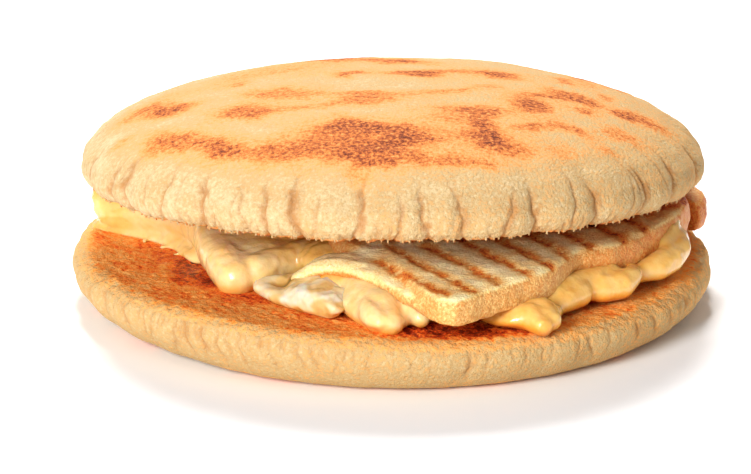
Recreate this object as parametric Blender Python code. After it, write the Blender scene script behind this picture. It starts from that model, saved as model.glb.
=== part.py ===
# Grilled cheese sandwich: a round flatbread split in two, with melted cheese and grilled slices between.
# Run with: blender --background --python part.py
# Sizes are in millimetres and are turned to metres as each vertex is made. +Z is up and the front is -Y.
# Angles round the bread are in degrees, 0 at the front and growing towards +X.

import math
import random

import bmesh
import bpy
from mathutils import Vector, noise

MM = 0.001

# Driving sizes
BREAD_RADIUS = 75.0  # lower half, at its widest
TOP_RADIUS = 73.0  # upper half, at its widest
CUT_HEIGHT = 12.0  # of the toasted face above the table, at the middle
TOP_LIFT = 29.4  # of the upper half's cut face above the table, at the middle
TOP_TILT = math.radians(5.5)  # the filling holds the front up
TOP_SHIFT = -2.0  # of the upper half towards the front
TOP_THICKNESS = 24.7
GAP = 0.35  # left between neighbours
SEGMENTS = 108  # round each bread
SEGMENT_DEGREES = 360.0 / SEGMENTS

# Turned profiles as (radius, height), from the middle of the underside out and up to the middle of the top
LOWER_PROFILE = (
    (0, 0), (66.0, 0), (69.6, 1.0), (72.2, 3.0), (74.2, 5.7), (75.0, 8.4),
    (74.5, 10.3), (73.1, 11.7), (70.8, 12.4), (68.0, 12.2), (62.0, 12.0), (42.0, 12.0), (0, 12.0),
)
UPPER_FLANK = ((0, 0), (66.0, 0), (69.8, 0.2), (71.6, 1.4), (72.6, 2.8), (73.0, 4.3))
DOME_POWER = 2.05  # of the superellipse above the widest ring
DOME_STEPS = (8, 20, 31, 41, 51, 61, 72)  # degrees along the superellipse

# Creases down the flank, as (degrees round, depth); the rest of the way round follows a rule
UPPER_CREASES = (
    (-63, 0.9), (-56, 0.9), (-46, 0.7), (-37, 1.3), (-28, 0.6), (-16, 0.9), (-7, 1.2), (7, 0.9), (14, 0.8),
    (27, 1.4), (40, 1.3), (54, 1.2), (63, 0.9),
)
LOWER_CREASES = (
    (-74, 0.6), (-62, 0.9), (-50, 0.6), (-39, 1.2), (-30, 0.5), (-17, 0.6), (-2, 0.4), (12, 0.8), (26, 0.5),
    (38, 0.8), (55, 0.8), (66, 1.0), (77, 0.7),
)
CREASE_HALF_WIDTH = 4.2  # degrees
CREASE_SPACING = (9, 15)  # degrees between creases at the back
CREASE_DEPTH = (0.5, 1.2)

# The lower half is thicker at the front left and thinner at the right
THICK_SIDE_ANGLE = -32.0
THICK_SIDE_RISE = 1.9
THICK_SIDE_SPREAD = 38.0
CUT_SLOPE_X = -0.014

# The underside's edge curls up a little at the left
CURL_ANGLE = -62.0
CURL_RISE = 1.5
CURL_SPREAD = 34.0
CURL_START = 57.0  # mm from the middle

# Plan outlines of the filling, as (x, y) points of smooth closed curves
GRILLED_SLICE = (
    (14, -74.5), (20, -69), (27, -62.5), (37, -52), (43, -40), (51, -36.5), (61, -24), (67.5, -12), (69, 0),
    (60, 9), (38, 12), (12, 12), (-6, 5), (-13, -12), (-15, -30), (-9, -41), (0, -54), (8, -70),
)
BACK_SLICE = (
    (72, 2.5), (74, 9), (71, 20), (60, 37), (44, 50), (24, 57), (8, 55), (1, 42), (2, 24), (12, 16.5),
    (38, 16.5), (60, 13), (69.5, 4.5),
)
LOWER_CHEESE = (
    (-8.4, -59), (-6.5, -65.5), (-2, -69), (2.5, -65), (4.5, -61), (7.5, -62.5), (10, -57), (17, -56),
    (24, -62.5), (32, -64), (38, -58), (39.5, -47), (44, -42), (45, -37), (51.5, -38), (57, -30), (57, -24),
    (63.5, -19), (68.5, -13), (65, -4), (66, 6), (60, 20), (55, 34), (38, 49), (20, 60), (1, 58), (-3, 40),
    (-3.5, 20), (-7, 0), (-11, -16), (-13.3, -30), (-12.2, -40), (-9.8, -47), (-9.2, -53),
)
LEFT_CHEESE = (
    (-71, 11), (-62, 5), (-56, 1.5), (-50, -4), (-46.5, -12), (-44.5, -24), (-41, -33), (-35.5, -37.5),
    (-30, -34), (-24, -33), (-17.5, -28), (-15, -12), (-8.5, 6), (-5.5, 22), (-5.5, 42), (-9, 59), (-26, 61),
    (-44, 51), (-58, 36), (-66, 24),
)
WHITE_CHEESE = (
    (-31.5, -37.5), (-28, -45), (-23, -50), (-17.5, -55), (-13.2, -58.5), (-10.6, -56), (-11.2, -48),
    (-14, -42), (-19, -37.5), (-26, -36),
)

# Bulges where the cheese has run out, as (x, y, rise, spread)
LOWER_DRIPS = (
    (-3, -60, 4.6, 7.0), (7.0, -60.5, 1.4, 3.0), (32, -60, 4.6, 6.5), (42.5, -44.5, 2.4, 4.5),
    (53, -35, 3.6, 6.0), (65, -15.5, 4.0, 5.5), (61, 22, 1.5, 7.0), (30, 54, 1.6, 8.0),
)
RELIEF_SEED = 7


def angle_round(x, y):
    return math.degrees(math.atan2(x, -y))


def away_from(angle, centre):
    return abs((angle - centre + 180.0) % 360.0 - 180.0)


def cut_face(x, y):
    """Height of the lower half's toasted face."""
    share = min(1.0, math.hypot(x, y) / BREAD_RADIUS)
    side = math.exp(-((away_from(angle_round(x, y), THICK_SIDE_ANGLE) / THICK_SIDE_SPREAD) ** 2))
    return CUT_HEIGHT + CUT_SLOPE_X * x + THICK_SIDE_RISE * side * share**3


def under_top(x, y):
    """Height of the upper half's cut face."""
    return TOP_LIFT - math.tan(TOP_TILT) * (y - TOP_SHIFT)


def all_creases(front, seed):
    """The front's creases, and a seeded rule's creases round the back, each on a segment's edge."""
    chance = random.Random(seed)
    creases = list(front)
    angle = front[-1][0] + chance.uniform(*CREASE_SPACING)
    while angle < front[0][0] + 360 - CREASE_SPACING[0]:
        creases.append((angle, chance.uniform(*CREASE_DEPTH)))
        angle += chance.uniform(*CREASE_SPACING)
    return [(round(a / SEGMENT_DEGREES) * SEGMENT_DEGREES, depth) for a, depth in creases]


def crease_depth(angle, creases):
    depth = 0.0
    for centre, most in creases:
        near = 1.0 - away_from(angle, centre) / CREASE_HALF_WIDTH
        if near > 0:
            depth = max(depth, most * near**1.4)
    return depth


def material(name, colour, roughness):
    made = bpy.data.materials.new(name)
    made.use_nodes = True
    shader = made.node_tree.nodes["Principled BSDF"]
    shader.inputs["Base Color"].default_value = (*colour, 1.0)
    shader.inputs["Roughness"].default_value = roughness
    shader.inputs["Metallic"].default_value = 0.0
    made.diffuse_color = (*colour, 1.0)
    return made


def finish_object(name, mesh_data, surface):
    bmesh.ops.recalc_face_normals(mesh_data, faces=mesh_data.faces)
    mesh = bpy.data.meshes.new(name)
    mesh_data.to_mesh(mesh)
    mesh_data.free()
    mesh.shade_smooth()
    mesh.set_sharp_from_angle(angle=math.radians(50))
    mesh.materials.append(surface)
    made = bpy.data.objects.new(name, mesh)
    bpy.context.scene.collection.objects.link(made)
    return made


def spun(profile):
    """A closed body turned from the profile round the upright axis, in millimetres."""
    turned = bmesh.new()
    points = [turned.verts.new((0, -radius, height)) for radius, height in profile]
    edges = [turned.edges.new(pair) for pair in zip(points, points[1:])]
    bmesh.ops.spin(
        turned, geom=points + edges, cent=(0, 0, 0), axis=(0, 0, 1), angle=2 * math.pi, steps=SEGMENTS,
        use_merge=True,
    )
    bmesh.ops.remove_doubles(turned, verts=turned.verts, dist=0.01)
    return turned


def lower_bread(surface):
    body = spun(LOWER_PROFILE)
    creases = all_creases(LOWER_CREASES, seed=11)
    widest = LOWER_PROFILE[5][1]
    for vertex in body.verts:
        x, y, z = vertex.co
        radius = math.hypot(x, y)
        if radius > 1:
            angle = angle_round(x, y)
            window = max(0.0, 1.0 - abs(z - 0.8 * widest) / widest) if radius > 67 else 0.0
            wobble = 0.5 * math.sin(math.radians(3 * angle + 40)) + 0.35 * math.sin(math.radians(5 * angle))
            pulled = radius + (radius / BREAD_RADIUS) ** 4 * wobble * 0.6 - crease_depth(angle, creases) * window
            x, y = x * pulled / radius, y * pulled / radius
        z *= cut_face(x, y) / CUT_HEIGHT
        if radius > CURL_START:
            side = math.exp(-((away_from(angle, CURL_ANGLE) / CURL_SPREAD) ** 2))
            outward = min(1.0, (radius - CURL_START) / (LOWER_PROFILE[1][0] - CURL_START))
            z += CURL_RISE * side * outward * max(0.0, 1 - z / widest)
        if z > 5 and radius < 72:
            z += 0.45 * noise.noise((x / 9, y / 9, RELIEF_SEED))
        vertex.co = Vector((x, y, z)) * MM
    return finish_object("bread_bottom", body, surface)


def upper_bread(surface):
    widest = UPPER_FLANK[-1][1]
    rise = TOP_THICKNESS - widest
    power = 2.0 / DOME_POWER
    dome = tuple(
        (TOP_RADIUS * math.cos(math.radians(a)) ** power, widest + rise * math.sin(math.radians(a)) ** power)
        for a in DOME_STEPS
    )
    body = spun(UPPER_FLANK + dome + ((0, TOP_THICKNESS),))
    creases = all_creases(UPPER_CREASES, seed=5)
    for vertex in body.verts:
        x, y, z = vertex.co
        radius = math.hypot(x, y)
        if radius > 1 and z > 0.1:
            angle = angle_round(x, y)
            window = max(0.0, 1.0 - abs(z - widest) / (0.62 * TOP_THICKNESS)) ** 0.7
            wobble = 0.4 * math.sin(math.radians(2 * angle + 70)) + 0.3 * math.sin(math.radians(5 * angle + 20))
            pulled = radius + (radius / TOP_RADIUS) ** 4 * wobble * 0.6 - crease_depth(angle, creases) * window
            x, y = x * pulled / radius, y * pulled / radius
        if z > 0.75 * TOP_THICKNESS:
            z += 0.5 * noise.noise((x / 16, y / 16, RELIEF_SEED))
        vertex.co = Vector((x, y, z)) * MM
    made = finish_object("bread_top", body, surface)
    made.location = Vector((0, TOP_SHIFT, TOP_LIFT)) * MM
    made.rotation_euler = (-TOP_TILT, 0, 0)
    return made


def smooth_outline(points, count):
    """Evenly spaced points of the closed curve through the given ones."""
    dense = []
    for i, start in enumerate(points):
        before, end, after = points[i - 1], points[(i + 1) % len(points)], points[(i + 2) % len(points)]
        for step in range(12):
            t = step / 12
            dense.append(
                tuple(
                    0.5 * (2 * b + (c - a) * t + (2 * a - 5 * b + 4 * c - d) * t * t + (3 * b - a - 3 * c + d) * t**3)
                    for a, b, c, d in zip(before, start, end, after)
                )
            )
    lengths = [math.dist(a, b) for a, b in zip(dense, dense[1:] + dense[:1])]
    step, travelled, wanted, outline = sum(lengths) / count, 0.0, 0.0, []
    for i, length in enumerate(lengths):
        while wanted < travelled + length and len(outline) < count:
            share = (wanted - travelled) / length
            start, end = dense[i], dense[(i + 1) % len(dense)]
            outline.append(Vector((start[0] + (end[0] - start[0]) * share, start[1] + (end[1] - start[1]) * share)))
            wanted += step
        travelled += length
    return outline


def outside(x, y, outline):
    """Distance of a point from the outline, less than nothing inside it."""
    point = Vector((x, y))
    nearest, inside = 1e9, False
    for start, end in zip(outline, outline[1:] + outline[:1]):
        along = end - start
        share = max(0.0, min(1.0, (point - start).dot(along) / along.length_squared))
        nearest = min(nearest, (start + along * share - point).length)
        if (start.y > y) != (end.y > y) and x < start.x + (y - start.y) / (end.y - start.y) * (end.x - start.x):
            inside = not inside
    return -nearest if inside else nearest


def layer(name, surface, outline, centre, top, bottom, edge, squareness=2.0):
    """A closed pad inside the outline, between two height functions, with a rounded edge of the given depth."""
    insets = (0.0, 0.12 * edge, 0.45 * edge, edge)
    shares = (0.3, 0.66)
    pad = bmesh.new()
    centre = Vector(centre)

    def ring(inset, share, side):
        points = []
        for rim in outline:
            inward = centre - rim
            reach = min(1.0, inset / inward.length)
            place = rim + inward * (reach + (1 - reach) * share)
            high, low = top(*place), bottom(*place)
            middle = 0.5 * (high + low)
            fullness = (1 - (1 - min(1.0, inset / edge)) ** squareness) ** (1 / squareness)
            height = middle + side * 0.5 * (high - low) * fullness
            points.append(pad.verts.new(Vector((place.x, place.y, height)) * MM))
        return points

    def pairs(points):
        return zip(points, points[1:] + points[:1])

    top_rings = [ring(inset, 0, 1) for inset in insets] + [ring(edge, share, 1) for share in shares]
    bottom_rings = [ring(inset, 0, -1) for inset in insets[1:]] + [ring(edge, shares[0], -1)]
    rings = top_rings[::-1] + bottom_rings
    for inner, outer in zip(rings, rings[1:]):
        for near, far in zip(pairs(inner), pairs(outer)):
            pad.faces.new((near[0], near[1], far[1], far[0]))
    for points, height in ((top_rings[-1], top(*centre)), (bottom_rings[-1], bottom(*centre))):
        hub = pad.verts.new(Vector((*centre, height)) * MM)
        for pair in pairs(points):
            pad.faces.new((*pair, hub))
    return finish_object(name, pad, surface)


def slice_top(x, y):
    return min(25.6 + 0.047 * (y + 30) - 0.02 * (x - 14), under_top(x, y) - 1.2 * GAP)


def slice_bottom(x, y):
    return 17.4 + 0.02 * (y + 30) - 0.012 * (x - 14)


def back_slice_top(x, y):
    return min(22.6 + 0.02 * y, under_top(x, y) - 2 * GAP)


def back_slice_bottom(x, y):
    return 15.2 - 0.02 * (x - 30)


def fillings(cheese, white, grilled):
    slice_outline = smooth_outline(GRILLED_SLICE, 64)
    layer("grilled_slice", grilled, slice_outline, (26, -26), slice_top, slice_bottom, 3.2, squareness=3.2)
    back_outline = smooth_outline(BACK_SLICE, 48)
    layer(
        "grilled_slice_back", grilled, back_outline, (36, 34), back_slice_top, back_slice_bottom, 3.2, squareness=2.6
    )

    def lower_cheese_bottom(x, y):
        return cut_face(x, y) + 2 * GAP + 0.25 * max(0.0, math.hypot(x, y) - 66.0)

    def lower_cheese_top(x, y):
        height = lower_cheese_bottom(x, y) + 2.4
        height += sum(rise * math.exp(-((x - a) ** 2 + (y - b) ** 2) / spread**2) for a, b, rise, spread in LOWER_DRIPS)
        for outline, bottom in ((slice_outline, slice_bottom), (back_outline, back_slice_bottom)):
            clear = max(0.0, outside(x, y, outline) - 1.5)
            height = min(height, bottom(x, y) - 2 * GAP + clear)
        return height

    lower_outline = smooth_outline(LOWER_CHEESE, 96)
    layer("cheese_under_slice", cheese, lower_outline, (24, -8), lower_cheese_top, lower_cheese_bottom, 3.0)

    def left_cheese_bottom(x, y):
        return cut_face(x, y) + 2 * GAP

    def left_cheese_top(x, y):
        front = max(0.0, min(1.0, (y + 42.0) / 44.0))
        bank = 19.2 + 9.0 * front**1.3
        return min(bank, under_top(x, y) - 1.5 * GAP)

    left_outline = smooth_outline(LEFT_CHEESE, 72)
    layer("cheese_left", cheese, left_outline, (-32, 10), left_cheese_top, left_cheese_bottom, 5.0)

    def white_top(x, y):
        return 18.6 + 4.2 * math.exp(-((x + 16) ** 2 + (y + 47) ** 2) / 60.0) + 0.6 * noise.noise((x / 3, y / 3, 2))

    def white_bottom(x, y):
        return cut_face(x, y) + 3 * GAP

    layer("white_cheese", white, smooth_outline(WHITE_CHEESE, 32), (-21, -43), white_top, white_bottom, 3.6)


def main():
    for old in list(bpy.data.objects):
        bpy.data.objects.remove(old)
    crust = material("baked_crust", (0.80, 0.56, 0.32), 0.75)
    cheese = material("melted_cheese", (0.85, 0.62, 0.25), 0.3)
    white = material("soft_white_cheese", (0.80, 0.76, 0.60), 0.35)
    grilled = material("grilled_slice", (0.76, 0.52, 0.27), 0.5)
    lower_bread(crust)
    upper_bread(crust)
    fillings(cheese, white, grilled)


main()
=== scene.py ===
# Round griddle flatbread, split and filled with melted cheese and griddled slices: the finish.
# Blender works in metres. The settings below are in millimetres, degrees and watts.
import math
import random

import bpy
import numpy as np
from mathutils import Matrix, Vector, kdtree, noise


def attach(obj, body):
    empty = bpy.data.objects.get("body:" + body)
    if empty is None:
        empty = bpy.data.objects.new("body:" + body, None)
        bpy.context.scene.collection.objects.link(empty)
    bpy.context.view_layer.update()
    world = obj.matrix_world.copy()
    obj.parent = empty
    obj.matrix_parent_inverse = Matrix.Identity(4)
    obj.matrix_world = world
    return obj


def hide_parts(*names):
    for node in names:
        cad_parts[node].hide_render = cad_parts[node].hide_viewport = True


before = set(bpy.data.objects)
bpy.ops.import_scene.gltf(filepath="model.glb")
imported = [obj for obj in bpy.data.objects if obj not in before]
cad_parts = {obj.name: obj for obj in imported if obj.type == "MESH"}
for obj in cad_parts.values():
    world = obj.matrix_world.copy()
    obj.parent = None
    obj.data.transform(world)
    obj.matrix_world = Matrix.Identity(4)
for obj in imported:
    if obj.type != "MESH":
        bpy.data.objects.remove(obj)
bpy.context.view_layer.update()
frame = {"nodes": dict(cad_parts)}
mm = 0.001
print("frame loaded:", ", ".join(frame["nodes"]))

# Camera, floor and light

camera = {
    "elevation": 17.56, "aim": (-3.9, 0, 14.7), "aside": 3.9, "distance": 1504.5,
    "lens": 308.2, "sensor": 36.0, "nearest": 50.0, "furthest": 20000.0,
}
studio = {
    "keyPlace": (-60, 600, 900), "keySize": 360, "keyPower": 14.6,
    "frontPlace": (-520, -1055, 500), "frontSize": 420, "frontPower": 18.0,
    "rightPlace": (900, -700, 400), "rightSize": 800, "rightPower": 0.4,
    "lampAim": (0, 0, 30), "sky": "#ffffff", "skyStrength": 0.32,
    "floor": "#ffffff", "floorRoughness": 0.9, "floorSize": 8000.0,
}


def linearColour(hexText):
    parts = [int(hexText[i:i + 2], 16) / 255 for i in (1, 3, 5)]
    return (*[p / 12.92 if p <= 0.04045 else ((p + 0.055) / 1.055) ** 2.4 for p in parts], 1.0)


def perMetre(size):
    # a texture's scale for features of this many millimetres
    return 1000.0 / size


def addNode(material, kind, settings=None, links=None, stops=()):
    # one node with its settings, its incoming links and, on a colour ramp, its stops
    node = material.node_tree.nodes.new(kind)
    for name, value in (settings or {}).items():
        if isinstance(name, str) and hasattr(node, name):
            setattr(node, name, value)
        else:
            node.inputs[name].default_value = value
    for name, source in (links or {}).items():
        material.node_tree.links.new(source, node.inputs[name])
    for i, (place, colour) in enumerate(stops):
        points = node.color_ramp.elements
        point = points[i] if i < len(points) else points.new(place)
        point.position = place
        point.color = linearColour(colour)
    return node


def newMaterial(name, settings):
    material = bpy.data.materials.new(name)
    material.use_nodes = True
    shader = material.node_tree.nodes["Principled BSDF"]
    for socket, value in settings.items():
        shader.inputs[socket].default_value = value
    return material, shader


def onlySelect(piece):
    bpy.ops.object.select_all(action="DESELECT")
    piece.select_set(True)
    bpy.context.view_layer.objects.active = piece


def applyModifier(piece, kind, **settings):
    step = piece.modifiers.new(kind.title(), kind)
    for name, value in settings.items():
        setattr(step, name, value)
    onlySelect(piece)
    bpy.ops.object.modifier_apply(modifier=step.name)


def setUpStudio():
    scene = bpy.context.scene
    scene.view_settings.view_transform = "Standard"
    aim = Vector(camera["aim"]) * mm
    slope = math.radians(camera["elevation"])
    # the camera stands to the right of its aim, so it looks a little to the left
    away = camera["distance"]
    place = aim + Vector((camera["aside"], -math.cos(slope) * away, math.sin(slope) * away)) * mm
    bpy.ops.object.camera_add(location=place)
    eye = bpy.context.object
    eye.rotation_euler = (aim - place).to_track_quat("-Z", "Y").to_euler()
    eye.data.lens = camera["lens"]
    eye.data.sensor_width = camera["sensor"]
    eye.data.clip_start = camera["nearest"] * mm
    eye.data.clip_end = camera["furthest"] * mm
    scene.camera = eye

    lampAim = Vector(studio["lampAim"]) * mm
    for name in ("key", "front", "right"):
        spot = Vector(studio[name + "Place"]) * mm
        bpy.ops.object.light_add(type="AREA", location=spot)
        lamp = bpy.context.object
        lamp.name = name + "Light"
        lamp.rotation_euler = (lampAim - spot).to_track_quat("-Z", "Y").to_euler()
        lamp.data.size = studio[name + "Size"] * mm
        lamp.data.energy = studio[name + "Power"]

    world = bpy.data.worlds.new("studioWhite")
    world.use_nodes = True
    background = world.node_tree.nodes["Background"]
    background.inputs["Color"].default_value = linearColour(studio["sky"])
    background.inputs["Strength"].default_value = studio["skyStrength"]
    scene.world = world

    bpy.ops.mesh.primitive_plane_add(size=studio["floorSize"] * mm, location=(0, 0, 0))
    floor = bpy.context.object
    floor.name = "paleFloor"
    settings = {"Roughness": studio["floorRoughness"], "Base Color": linearColour(studio["floor"])}
    floor.data.materials.append(newMaterial("matPaintedBoard", settings)[0])
    print("studio ready")


# Working on a mesh's points

tilt = {"degrees": 5.5, "centre": (0, -2, 29.4)}  # how the upper half sits
remesh = {"mergeGap": 0.01, "blobSegments": 20, "blobRings": 12, "blobStep": 1.2}


def finerCopy(nodeName, pieceName, cell, smoothing, blobs=()):
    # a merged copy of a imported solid, with any blobs melted into it, in even small quads
    source = frame["nodes"][nodeName]
    piece = source.copy()
    piece.data = source.data.copy()
    piece.name = pieceName
    piece.parent = None
    piece.matrix_world = source.matrix_world
    bpy.context.collection.objects.link(piece)
    onlySelect(piece)
    bpy.ops.object.transform_apply(location=True, rotation=True, scale=True)
    bpy.ops.object.mode_set(mode="EDIT")
    bpy.ops.mesh.select_all(action="SELECT")
    bpy.ops.mesh.remove_doubles(threshold=remesh["mergeGap"] * mm)
    bpy.ops.object.mode_set(mode="OBJECT")
    meltTogether(piece, cell, smoothing, blobs)
    piece.data.materials.clear()
    return piece


def meltTogether(piece, cell, smoothing, blobs):
    # adds the blobs (centre, half sizes) and makes one smooth skin round it all
    onlySelect(piece)
    bpy.ops.object.mode_set(mode="EDIT")
    for centre, size in blobs:
        bpy.ops.mesh.primitive_uv_sphere_add(
            segments=remesh["blobSegments"], ring_count=remesh["blobRings"], radius=1.0,
            location=Vector(centre) * mm, scale=Vector(size) * mm,
        )
    bpy.ops.object.mode_set(mode="OBJECT")
    applyModifier(piece, "REMESH", mode="VOXEL", voxel_size=cell * mm, use_smooth_shade=True)
    applyModifier(piece, "SMOOTH", factor=0.5, iterations=smoothing)


def run(points, flat=1.0):
    # blobs along a run of cheese through (x, y, z, radius) points
    blobs = []
    for start, end in zip(points, points[1:]):
        length = math.dist(start[:3], end[:3])
        count = max(2, int(length / remesh["blobStep"]))
        for i in range(count):
            share = i / count
            x, y, z, r = (a + (b - a) * share for a, b in zip(start, end))
            blobs.append(((x, y, z), (r, r, r * flat)))
    x, y, z, r = points[-1]
    blobs.append(((x, y, z), (r, r, r * flat)))
    return blobs


def halveFaces(piece, wanted):
    # halves the edges of the faces whose centres are wanted, for finer relief there
    centres = np.empty(len(piece.data.polygons) * 3)
    piece.data.polygons.foreach_get("center", centres)
    chosen = wanted(centres.reshape(-1, 3) * 1000.0)
    onlySelect(piece)
    bpy.ops.object.mode_set(mode="EDIT")
    bpy.ops.mesh.select_mode(type="FACE")
    bpy.ops.mesh.select_all(action="DESELECT")
    bpy.ops.object.mode_set(mode="OBJECT")
    piece.data.polygons.foreach_set("select", chosen)
    bpy.ops.object.mode_set(mode="EDIT")
    bpy.ops.mesh.subdivide(number_cuts=1)
    bpy.ops.object.mode_set(mode="OBJECT")
    applyModifier(piece, "SMOOTH", factor=0.5, iterations=1)


def placesOf(piece):
    places = np.empty(len(piece.data.vertices) * 3)
    piece.data.vertices.foreach_get("co", places)
    return places.reshape(-1, 3) * 1000.0


def outwardOf(piece):
    outward = np.empty(len(piece.data.vertices) * 3)
    piece.data.vertex_normals.foreach_get("vector", outward)
    return outward.reshape(-1, 3)


def setPlaces(piece, places):
    piece.data.vertices.foreach_set("co", (places * mm).ravel())
    piece.data.update()


def paint(piece, name, values):
    layer = piece.data.attributes.new(name, "FLOAT", "POINT")
    layer.data.foreach_set("value", np.clip(values, 0.0, 1.0).astype(np.float32))


def grain(places, size, seed):
    # noise from -1 to 1 with features of this size; size is one number or one for each axis
    steps = places / np.array(size) + seed * 17.3  # far enough apart that no two seeds look alike
    return np.array([noise.noise(p, noise_basis="PERLIN_ORIGINAL") for p in steps.tolist()])


def softStep(values, low, high):
    share = np.clip((values - low) / (high - low), 0.0, 1.0)
    return share * share * (3.0 - 2.0 * share)


def patches(x, y, spots):
    # how strongly each point lies in any of the oval patches (x, y, half length, half width, turn, strength),
    # which fade from a third of the way out to a third past their edge
    missing = np.ones_like(x)
    for cx, cy, length, width, turn, strength in spots:
        c, s = math.cos(math.radians(turn)), math.sin(math.radians(turn))
        u = ((x - cx) * c + (y - cy) * s) / length
        v = (-(x - cx) * s + (y - cy) * c) / width
        missing *= 1.0 - strength * (1.0 - softStep(np.hypot(u, v), 0.35, 1.35))
    return 1.0 - missing


def finish(piece, nodeName, material):
    piece.data.materials.append(material)
    for face in piece.data.polygons:
        face.use_smooth = True
    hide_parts(nodeName)
    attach(piece, "root")
    print(piece.name, len(piece.data.polygons), "faces")


# Creases down the bread's sides

creases = {
    "spacing": (9, 15), "depth": (0.5, 1.2), "halfWidth": 0.42, "tintWidth": 2.2, "segments": 108,
    # each one leans and wavers as it runs away from the cut
    "slant": 0.28, "wave": 0.4, "waveLength": 2.1, "ripple": 0.25, "rippleLength": 0.8, "reachAround": 12.0,
    "nicks": 170, "nickDepth": (0.2, 0.7), "nickReach": (1.6, 6.5),
}


def allCreases(front, seed):
    # the front's creases, then a seeded rule round the back, all on the solid's own segments
    chance = random.Random(seed)
    lines = list(front)
    angle = front[-1][0] + chance.uniform(*creases["spacing"])
    while angle < front[0][0] + 360 - creases["spacing"][0]:
        lines.append((angle, chance.uniform(*creases["depth"])))
        angle += chance.uniform(*creases["spacing"])
    step = 360.0 / creases["segments"]
    return [(round(a / step) * step, depth) for a, depth in lines]


def creaseMarks(angle, height, radius, lines, fineLines, reach, seed):
    # for each point, how deep it lies in a crease and how near to one, from 0 to 1
    chance = random.Random(seed)
    marks, near = np.zeros_like(angle), np.zeros_like(angle)
    cuts = [(centre, depth, reach * chance.uniform(0.7, 1.0)) for centre, depth in (*lines, *fineLines)]
    for i in range(creases["nicks"]):
        cuts.append((chance.uniform(-180, 180), chance.uniform(*creases["nickDepth"]),
                     chance.uniform(*creases["nickReach"])))
    for centre, depth, far in cuts:
        slant = chance.uniform(-creases["slant"], creases["slant"])
        phase = chance.uniform(0, 6.28)
        gap = np.abs((angle - centre + 180.0) % 360.0 - 180.0)
        close = np.flatnonzero(gap < creases["reachAround"])
        high = height[close]
        path = slant * high + creases["wave"] * np.sin(high / creases["waveLength"] + phase)
        path += creases["ripple"] * np.sin(high / creases["rippleLength"] + 2 * phase)
        away = np.radians((angle[close] - centre + 180.0) % 360.0 - 180.0) * radius - path
        along = 1.0 - softStep(high, 0.55 * far, far)
        width = creases["halfWidth"] * (0.6 + 0.5 * depth)
        strength = min(1.0, depth) * along
        marks[close] = np.maximum(marks[close], strength * np.exp(-((away / width) ** 2)))
        near[close] = np.maximum(near[close], strength * np.exp(-((away / creases["tintWidth"]) ** 2)))
    return marks, near


# Baked flatbread: wheat crust off a dry griddle, pale and floury with orange-brown scorching.
# The eye gets a velvety matt surface, dark speckle in the scorches and an open, ragged cut.

crust = {
    "heatStops": (
        (0.0, "#d8bf93"), (0.14, "#c3a270"), (0.24, "#d2a267"), (0.36, "#de9a56"), (0.5, "#d9843e"),
        (0.64, "#c66c30"), (0.8, "#9a4a24"), (1.0, "#642a12"),
    ),
    "toastStops": (
        (0.0, "#d8bf90"), (0.14, "#c4a06a"), (0.24, "#e4a862"), (0.36, "#f6a852"), (0.52, "#f2842e"),
        (0.66, "#e2591c"), (0.82, "#a83414"), (1.0, "#58160a"),
    ),
    # the crease colour: painted shade in each crease's groove, and a browner tint in a band beside it
    "creaseShadeTint": "#a8652a", "tintShare": 0.7, "leastSwing": 0.3,
    "speckle": 0.95, "speckleDepth": 0.3, "velvet": 0.7, "velvetDepth": 0.4, "dry": 0.8, "damp": 0.22,
}


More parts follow.
